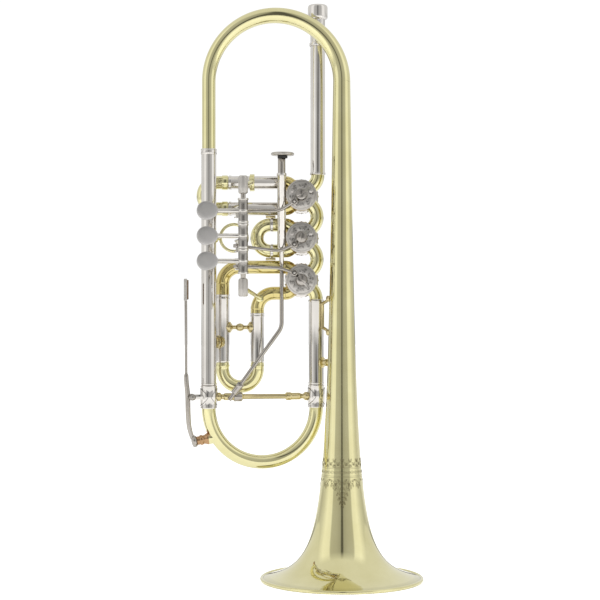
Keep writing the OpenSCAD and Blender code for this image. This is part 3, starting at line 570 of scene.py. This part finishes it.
def make_trigger_rod():
    """Plunger and bent rod of the thumb trigger."""
    low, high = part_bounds("trigger_rod")
    plunger = 3.18 * MM
    place_x, place_y = high.x - plunger, high.y - plunger
    foot = part_box("trigger_rod", lambda c: c.x > high.x - 0.5 * MM)[0].z
    tip = part_middle("trigger_rod", lambda c: c.z < low.z + 3.5 * MM)
    knee_z = part_box("trigger_rod", lambda c: c.x > place_x - 3 * MM)[0].z + 1.8 * MM
    radius = 1.65 * MM
    rod = sweep(rounded(Vector((place_x, place_y, foot)), Vector((place_x, place_y, knee_z)), tip, 4.5 * MM),
                [radius] * 23, 32)
    barrel = lathe([(0.0, foot), (plunger - 0.3 * MM, foot), (plunger, foot + 0.3 * MM),
                    (plunger, high.z - 0.2 * MM), (plunger - 0.2 * MM, high.z), (0.0, high.z)],
                   (place_x, place_y, 0), (0, 0, 1), 64)
    piece = mesh_piece("trigger_rod_skin", *join(rod, barrel), STEEL, "main_slide", "steel", 45)
    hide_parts("trigger_rod")


def make_paddles():
    """Egg-shaped finger plates with a soft rim."""
    profile = [(0.93, 1.12), (0.985, 1.25), (1.0, 1.5), (1.0, 2.0), (0.985, 2.28), (0.94, 2.5), (0.86, 2.64),
               (0.6, 2.72), (0.3, 2.75)]
    sides = 96
    for i in (1, 2, 3):
        node = f"lever_{i}"
        low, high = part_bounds(node)
        axle = Vector((AXLE.x, AXLE.y, 0))
        plate = part_middle(node, lambda c: c.x < low.x + 6 * MM)
        rise = math.radians(7)
        out = Vector((-math.cos(rise), -math.sin(rise), 0))
        face = Vector((math.sin(rise), -math.cos(rise), 0))
        reach = 29 * MM
        verts, faces = [], []
        for scale, height in profile:
            for k in range(sides):
                turn = 2 * math.pi * k / sides
                u = (-0.05 + scale * 8.62 * math.cos(turn)) * MM
                w = scale * 7.6 * math.sin(turn) * (1 + 0.09 * math.cos(turn)) * MM
                verts.append(axle + out * (reach + u) + face * height * MM + Vector((0, 0, plate.z + w)))
        for ring in range(len(profile) - 1):
            for k in range(sides):
                a, n = ring * sides + k, ring * sides + (k + 1) % sides
                faces.append((a, a + sides, n + sides, n))
        faces.append(tuple(range(sides)))
        faces.append(tuple((len(profile) - 1) * sides + k for k in range(sides - 1, -1, -1)))
        mesh_piece(f"paddle_{i}", verts, faces, PADDLE, node, "satin_silver", 60)


def key_place():
    """Function from millimetres beside and above the water key's pivot to a point; pivot, axis and side."""
    joint = next(j for j in frame["joints"] if j["name"] == "water_key_swing")
    pivot = Vector(joint["pos_m"])
    axis = Vector(joint["axis"])
    side = Vector((axis.y, -axis.x, 0)).normalized()

    def place(x, z):
        return pivot + side * x * MM + Vector((0, 0, z * MM))
    return place, pivot, axis, side


def make_water_key():
    """Curved water key lever with its barrel, touch piece and cup."""
    place, pivot, axis, side = key_place()
    wire = [place(-5.3, 80), place(-5.1, 50), place(-5.0, 14)]
    arm_points = curve_through([place(-5.0, 20), place(-4.7, 12), place(-3.7, 1), place(-3.4, -13),
                                place(-2.4, -25), place(0.2, -34)], 6)
    last = len(arm_points) - 1
    radii = [(1.75 + 0.35 * math.sin(math.pi * k / last)) * MM for k in range(last + 1)]
    radii[0] = radii[1] = 1.2 * MM
    arm = join(sweep(arm_points, radii, 24), sweep(wire, [1.1 * MM] * 3, 24))
    barrel = lathe(in_mm(band(1.26, 2.8, 3.2, 0.35)), pivot, axis, 48)
    cork_low, cork_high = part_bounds("water_key_cork")
    dip = math.radians(10)
    outward = (-side * math.cos(dip) - Vector((0, 0, math.sin(dip)))).normalized()
    face = (cork_low + cork_high) / 2 - outward * 1.2 * MM
    cup = lathe(in_mm([(0.0, 2.55), (4.3, 2.55), (4.35, 0.75), (4.8, 0.7), (5, 0.9), (5, 2.6), (4.2, 3.6),
                       (2.2, 4.2), (0.0, 4.4)]), face, outward, 56)
    key = mesh_piece("water_key_skin", *join(arm, barrel, cup), STEEL, "water_key", "nickel_silver", 45)
    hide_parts("water_key_lever")
    nipple = [(0.0, 0.02), (3.2, 0.02), (3.56, -0.3), (3.56, -2.6), (4.16, -3.3), (4.2, -3.7), (4.2, -4.5),
              (4.16, -4.9), (3.56, -5.7), (3.58, -5.9), (4.06, -7.6), (4.6, -8.3), (4.76, -8.9), (4.76, -9.6),
              (0.0, -9.7)]
    mesh_piece("water_key_nipple", *lathe(in_mm(reversed(nipple)), face, outward, 56),
               COPPER, "main_slide", "lacquered_brass", 35)
    turns = [k * math.pi / 14 for k in range(15)]
    ball = in_mm([(2.5 * math.sin(turn), -2.5 * math.cos(turn)) for turn in turns])
    mesh_piece("water_key_screw", *lathe(ball, pivot - axis * 5.9 * MM, -axis, 40), DARK_NICKEL,
               "main_slide", "nickel_silver", 60)
    box_piece("water_key_touch", place(-5.6, 87.9), side * 1.1 * MM, axis * 3 * MM, Vector((0, 0, 9 * MM)),
              SATIN, "water_key", "nickel_silver")
    box_piece("water_key_pad", place(-3.9, 87.9), side * 0.7 * MM, axis * 2.7 * MM, Vector((0, 0, 8 * MM)),
              CORK, "water_key", "cork")


def box_piece(name, centre_at, a, b, c, material, body, slot, soft=0.4):
    """Small block with softly rounded edges, half sides a, b and c."""
    verts = [centre_at + x * a + y * b + z * c for x in (-1, 1) for y in (-1, 1) for z in (-1, 1)]
    faces = [(0, 1, 3, 2), (4, 6, 7, 5), (0, 4, 5, 1), (2, 3, 7, 6), (0, 2, 6, 4), (1, 5, 7, 3)]
    piece = mesh_piece(name, verts, faces, material, body, slot, 30)
    bevel = piece.modifiers.new("edge", "BEVEL")
    bevel.width = soft * MM
    bevel.segments = 3
    bevel.harden_normals = True


make_links()
make_trigger_rod()
make_paddles()
make_water_key()


# ---------- engraving ----------

LINE = 0.15 * MM


def engrave(name, curves, place, material, body, slot, width=LINE):
    """Fine lines laid half into a surface; place turns flat (across, up) millimetres into a point on it."""
    parts = []
    for curve in curves:
        points = [place(a, b) for a, b in curve]
        radii = [width * min(1, 0.45 + 1.1 * min(i, len(points) - 1 - i) / len(points) * 2)
                 for i in range(len(points))]
        parts.append(sweep(points, radii, 4))
    return mesh_piece(name, *join(*parts), material, body, slot, 60)


def scroll(x, z, size, start, turns, hand):
    """Volute that winds inwards from (x, z)."""
    points = []
    steps = 18
    centre = (x - size * math.cos(start), z - size * math.sin(start))
    for i in range(steps + 1):
        t = i / steps
        reach = size * (1 - 0.85 * t)
        turn = start + hand * turns * 2 * math.pi * t
        points.append((centre[0] + reach * math.cos(turn), centre[1] + reach * math.sin(turn)))
    return points


def leaf(x, z, length, lean, width):
    """Outline of a pointed leaf and its middle vein, from its stalk at (x, z)."""
    along_way = (math.cos(lean), math.sin(lean))
    across = (-along_way[1], along_way[0])

    def at(t, side):
        bulge = width * math.sin(math.pi * t) ** 0.8 * side
        return (x + length * t * along_way[0] + bulge * across[0],
                z + length * t * along_way[1] + bulge * across[1])

    steps = 8
    edge = [at(i / steps, 1) for i in range(steps + 1)]
    other = [at(i / steps, -1) for i in range(steps + 1)]
    vein = [at(i / steps, 0) for i in range(steps)]
    return [edge, other, vein]


def mirrored(curves):
    return curves + [[(-a, b) for a, b in c] for c in curves]


def dots(centres, size):
    return [[(x + size * math.cos(k * math.pi / 4), z + size * math.sin(k * math.pi / 4)) for k in range(9)]
            for x, z in centres]


BAND_HIGH = 93.3
BAND_LOW = 86.2


def on_bell(centre_turn):
    """Places flat millimetres round the bell, with 0 at centre_turn degrees from the front."""
    def place(across, height):
        z = height * MM
        radius = bell_radius(z)
        turn = math.radians(centre_turn) + across * MM / radius
        radius -= 0.03 * MM
        return Vector((radius * math.sin(turn), -radius * math.cos(turn), z))
    return place


def bell_rings():
    """Fine turned lines round the bell, above and below the ornamental band."""
    parts = []
    for height in (BAND_HIGH - 0.55, BAND_HIGH + 0.55, BAND_LOW - 0.55, BAND_LOW + 0.55):
        z = height * MM
        radius = bell_radius(z)
        parts.append(lathe([(radius - 0.08 * MM, z - LINE), (radius + 0.06 * MM, z - 0.5 * LINE),
                            (radius + 0.06 * MM, z + 0.5 * LINE), (radius - 0.08 * MM, z + LINE)],
                           (0, 0, 0), (0, 0, 1), 120))
    mesh_piece("bell_ring_lines", *join(*parts), CUT, "horn", "lacquered_brass", 60)


def bell_engraving():
    """Scroll and leaf ornament in the manner of hand engraving, repeated round the bell."""
    frieze = []
    frieze += scroll_group(0, BAND_HIGH + 3.2, 1.7)
    for side in (1, -1):
        frieze += leaf(side * 2.4, BAND_HIGH + 1.8, 4.2, math.pi / 2 - side * 0.75, 0.75)
        frieze += leaf(side * 0.3, BAND_HIGH + 4.4, 3.4, math.pi / 2 - side * 0.3, 0.55)
        frieze.append(scroll(side * 5.4, BAND_HIGH + 2.6, 1.1, math.pi / 2 + side * 1.2, 1.2, side))
    middle_z = (BAND_HIGH + BAND_LOW) / 2
    wave = [[(-7 + 14 * i / 40, middle_z + side * 1.15 * math.sin(i / 40 * 4 * math.pi)) for i in range(41)]
            for side in (1, -1)]
    band = wave + dots([(-5.25, middle_z), (-1.75, middle_z), (1.75, middle_z), (5.25, middle_z)], 0.42)
    swag = []
    for side in (1, -1):
        swag += [scroll(side * 2.1, BAND_LOW - 2.8, 1.6, math.pi / 2 - side * 0.4, 1.3, side)]
        swag += leaf(side * 3.2, BAND_LOW - 1.8, 3.6, -math.pi / 2 + side * 0.9, 0.7)
        swag += leaf(side * 1.1, BAND_LOW - 4.8, 3.9, -math.pi / 2 + side * 0.35, 0.65)
    swag += leaf(0, BAND_LOW - 6, 4.2, -math.pi / 2, 0.75)
    repeats = 15
    for k in range(repeats):
        place = on_bell(360 * k / repeats)
        engrave(f"bell_frieze_{k}", frieze, place, CUT, "horn", "lacquered_brass")
        engrave(f"bell_band_{k}", band, on_bell(360 * (k + 0.5) / repeats), CUT, "horn", "lacquered_brass",
                0.8 * LINE)
        if k % 3 != 0:
            engrave(f"bell_swag_{k}", swag, place, CUT, "horn", "lacquered_brass")
    pendant = []
    rows = [(BAND_LOW - 3.4, 6.0, 1.9), (BAND_LOW - 7.6, 6.4, 1.9), (BAND_LOW - 11.6, 5.0, 1.7),
            (BAND_LOW - 15.2, 3.9, 1.5), (BAND_LOW - 18.6, 2.7, 1.2)]
    for height, half, size in rows:
        pendant.append(scroll(half, height, size, 0.3, 1.4, 1))
        pendant.append(scroll(half - 2 * size - 0.2, height - 0.8, size * 0.75, 2.6, 1.3, -1))
        pendant += leaf(0.4, height - 0.6, 3.4, -0.9, 0.7)
        pendant += leaf(half - 1.2, height - 1.4, 2.6, -1.2, 0.55)
    pendant += leaf(0.2, BAND_LOW - 21, 4.2, -1.35, 0.5)
    engrave("bell_pendant", mirrored(pendant), on_bell(0), CUT, "horn", "lacquered_brass")


def scroll_group(x, z, size):
    """Pair of volutes back to back with a drop between them."""
    pair = [scroll(x + side * size * 0.2, z, size, math.pi / 2 - side * 0.2, 1.35, side) for side in (1, -1)]
    return pair + dots([(x, z + size * 0.9)], size * 0.22)


def turned(curve, turn):
    """Curve turned about the origin."""
    return [(a * math.cos(turn) - b * math.sin(turn), a * math.sin(turn) + b * math.cos(turn))
            for a, b in curve]


def plate_engraving():
    """Scrolls and leaves on the satin front plates."""
    for i, valve in enumerate(VALVES):
        def place(a, b, valve=valve):
            return Vector((VALVE_X + a * MM, PLATE_FACE - 0.01 * MM, valve.z + b * MM))
        curves = []
        for k in range(6):
            turn = math.radians(60 * k + 17)
            group = [scroll(8.4, 0.4, 1.5, 0.4, 1.3, 1), scroll(7.6, 2.2, 1.1, 1.9, 1.2, -1)]
            group += leaf(6.4, -1.4, 3.6, 0.35, 0.7) + leaf(6.2, 1.6, 3.0, 0.9, 0.55)
            group += leaf(8.6, -2.6, 2.4, 0.9, 0.5)
            curves += [turned(curve, turn) for curve in group]
        curves.append([(11.1 * math.cos(k * math.pi / 36), 11.1 * math.sin(k * math.pi / 36))
                       for k in range(73)])
        engrave(f"plate_{i + 1}_engraving", curves, place, CUT_SATIN, "horn", "satin_silver", 0.11 * MM)


def foot_lines():
    """Cut outlines round the oval feet on both main slide ferrules."""
    low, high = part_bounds("main_slide_ferrules")
    left = Vector((LEFT_X, 0, (low.z + high.z) / 2))
    right = Vector((middle("right_slide_tube").x, middle("right_slide_tube").y, left.z))
    along = (right - left).normalized()
    across = Vector((-along.y, along.x, 0))
    parts = []
    for centre in (left, right):
        for side in (1, -1):
            points = []
            for k in range(49):
                turn = 2 * math.pi * k / 48
                beside = 6.95 * math.cos(turn)
                points.append(centre + along * side * math.sqrt(7.08 ** 2 - beside ** 2) * MM
                              + across * beside * MM + Vector((0, 0, 6.95 * math.sin(turn) * MM)))
            parts.append(sweep(points, [0.2 * MM] * 49, 5))
    mesh_piece("ferrule_foot_lines", *join(*parts), CUT_SATIN, "main_slide", "nickel_silver", 60)


bell_rings()
bell_engraving()
plate_engraving()
foot_lines()


# ---------- studio ----------

def studio():
    """Pale floor, white background, and for the metal to mirror a dim front with bright sides."""
    bpy.ops.mesh.primitive_plane_add(size=14, location=(0, 0, -0.16 * MM))
    floor = bpy.context.object
    floor.name = "floor"
    n = Nodes("floor_white")
    n.shader.inputs["Roughness"].default_value = 0.65
    n.link(n.ramp(n.noise(3, 2), 0.2, 0.8, grey(0.8), grey(0.83)), n.shader.inputs["Base Color"])
    n.shader.inputs["Emission Color"].default_value = (1, 1, 1, 1)
    ray = n.add("ShaderNodeLightPath")
    glow = n.add("ShaderNodeMapRange")
    n.link(ray.outputs["Is Camera Ray"], glow.inputs["Value"])
    glow.inputs["To Min"].default_value = 0.12
    glow.inputs["To Max"].default_value = 0.55
    n.link(glow.outputs["Result"], n.shader.inputs["Emission Strength"])
    floor.data.materials.append(n.material)

    world = bpy.data.worlds.new("studio")
    bpy.context.scene.world = world
    world.use_nodes = True
    tree = world.node_tree
    tree.nodes.clear()

    def add(kind, **values):
        node = tree.nodes.new(kind)
        for key, value in values.items():
            setattr(node, key, value)
        return node

    place = add("ShaderNodeTexCoord")
    split = add("ShaderNodeSeparateXYZ")
    tree.links.new(place.outputs["Generated"], split.inputs[0])
    flip = add("ShaderNodeMath", operation="MULTIPLY")
    tree.links.new(split.outputs["Y"], flip.inputs[0])
    flip.inputs[1].default_value = -1
    turn = add("ShaderNodeMath", operation="ARCTAN2")
    tree.links.new(split.outputs["X"], turn.inputs[0])
    tree.links.new(flip.outputs[0], turn.inputs[1])
    part = add("ShaderNodeMapRange")
    tree.links.new(turn.outputs[0], part.inputs["Value"])
    part.inputs["From Min"].default_value = -math.pi
    part.inputs["From Max"].default_value = math.pi
    around = add("ShaderNodeValToRGB")
    tree.links.new(part.outputs["Result"], around.inputs["Fac"])
    half = [(0.5, 0.1), (0.509, 0.14), (0.517, 0.46), (0.56, 0.56), (0.622, 0.62), (0.636, 1.08), (0.7, 1.15),
            (0.76, 0.82), (0.83, 0.6), (0.875, 0.78), (0.905, 0.34), (0.94, 0.2), (1.0, 0.18)]
    stops = [(1 - at, value) for at, value in reversed(half[1:])] + half
    ramp = around.color_ramp
    ramp.interpolation = "LINEAR"
    while len(ramp.elements) < len(stops):
        ramp.elements.new(0.5)
    for element, (place_at, value) in zip(ramp.elements, stops):
        element.position = place_at
    for element, (place_at, value) in zip(ramp.elements, stops):
        element.color = (value, value, value * 0.99, 1)
    behind = add("ShaderNodeMath", operation="MULTIPLY_ADD", use_clamp=False)
    facing = add("ShaderNodeMath", operation="MAXIMUM")
    tree.links.new(split.outputs["Y"], facing.inputs[0])
    facing.inputs[1].default_value = 0.0
    tree.links.new(facing.outputs[0], behind.inputs[0])
    behind.inputs[1].default_value = 15.0
    behind.inputs[2].default_value = 1.0
    lifted = add("ShaderNodeMath", operation="MULTIPLY")
    tree.links.new(split.outputs["Z"], lifted.inputs[0])
    tree.links.new(behind.outputs[0], lifted.inputs[1])
    height = add("ShaderNodeMapRange")
    tree.links.new(lifted.outputs[0], height.inputs["Value"])
    height.inputs["From Min"].default_value = 0.68
    height.inputs["From Max"].default_value = 0.84
    mix = add("ShaderNodeMix", data_type="RGBA")
    tree.links.new(height.outputs["Result"], mix.inputs["Factor"])
    tree.links.new(around.outputs["Color"], mix.inputs["A"])
    mix.inputs["B"].default_value = (0.86, 0.86, 0.85, 1)
    ray = add("ShaderNodeLightPath")
    seen = add("ShaderNodeMix", data_type="RGBA")
    tree.links.new(ray.outputs["Is Camera Ray"], seen.inputs["Factor"])
    tree.links.new(mix.outputs["Result"], seen.inputs["A"])
    seen.inputs["B"].default_value = (1.05, 1.05, 1.05, 1)
    back = add("ShaderNodeBackground")
    tree.links.new(seen.outputs["Result"], back.inputs["Color"])
    out = add("ShaderNodeOutputWorld")
    tree.links.new(back.outputs[0], out.inputs["Surface"])

    for name, place_at, size, power in (
        ("key_light", (-1.2, -1.3, 1.5), 0.9, 26), ("fill_light", (1.4, -1.0, 1.1), 0.9, 16),
    ):
        data = bpy.data.lights.new(name, "AREA")
        data.size = size
        data.energy = power
        light = bpy.data.objects.new(name, data)
        light.location = place_at
        light.visible_glossy = False
        light.rotation_euler = (Vector((0, 0, 0.2)) - Vector(place_at)).to_track_quat("-Z", "Y").to_euler()
        bpy.context.scene.collection.objects.link(light)


studio()


# ---------- camera ----------

LENS_MM = 97.3
DISTANCE = 1.33                        # from the bell's axis, metres
ASIDE = 3 * MM                         # left of the part's middle
BELOW = 7.4 * MM                       # under the part's middle

centre = (cad_low + cad_high) / 2
lens = bpy.data.cameras.new("camera")
lens.sensor_width = 36
lens.lens = LENS_MM
camera = bpy.data.objects.new("camera", lens)
camera.location = (centre.x - ASIDE, -DISTANCE, centre.z - BELOW)
camera.rotation_euler = (math.radians(90), 0, 0)
bpy.context.scene.collection.objects.link(camera)
bpy.context.scene.camera = camera
bpy.context.scene.view_settings.view_transform = "Standard"
bpy.context.scene.view_settings.look = "None"
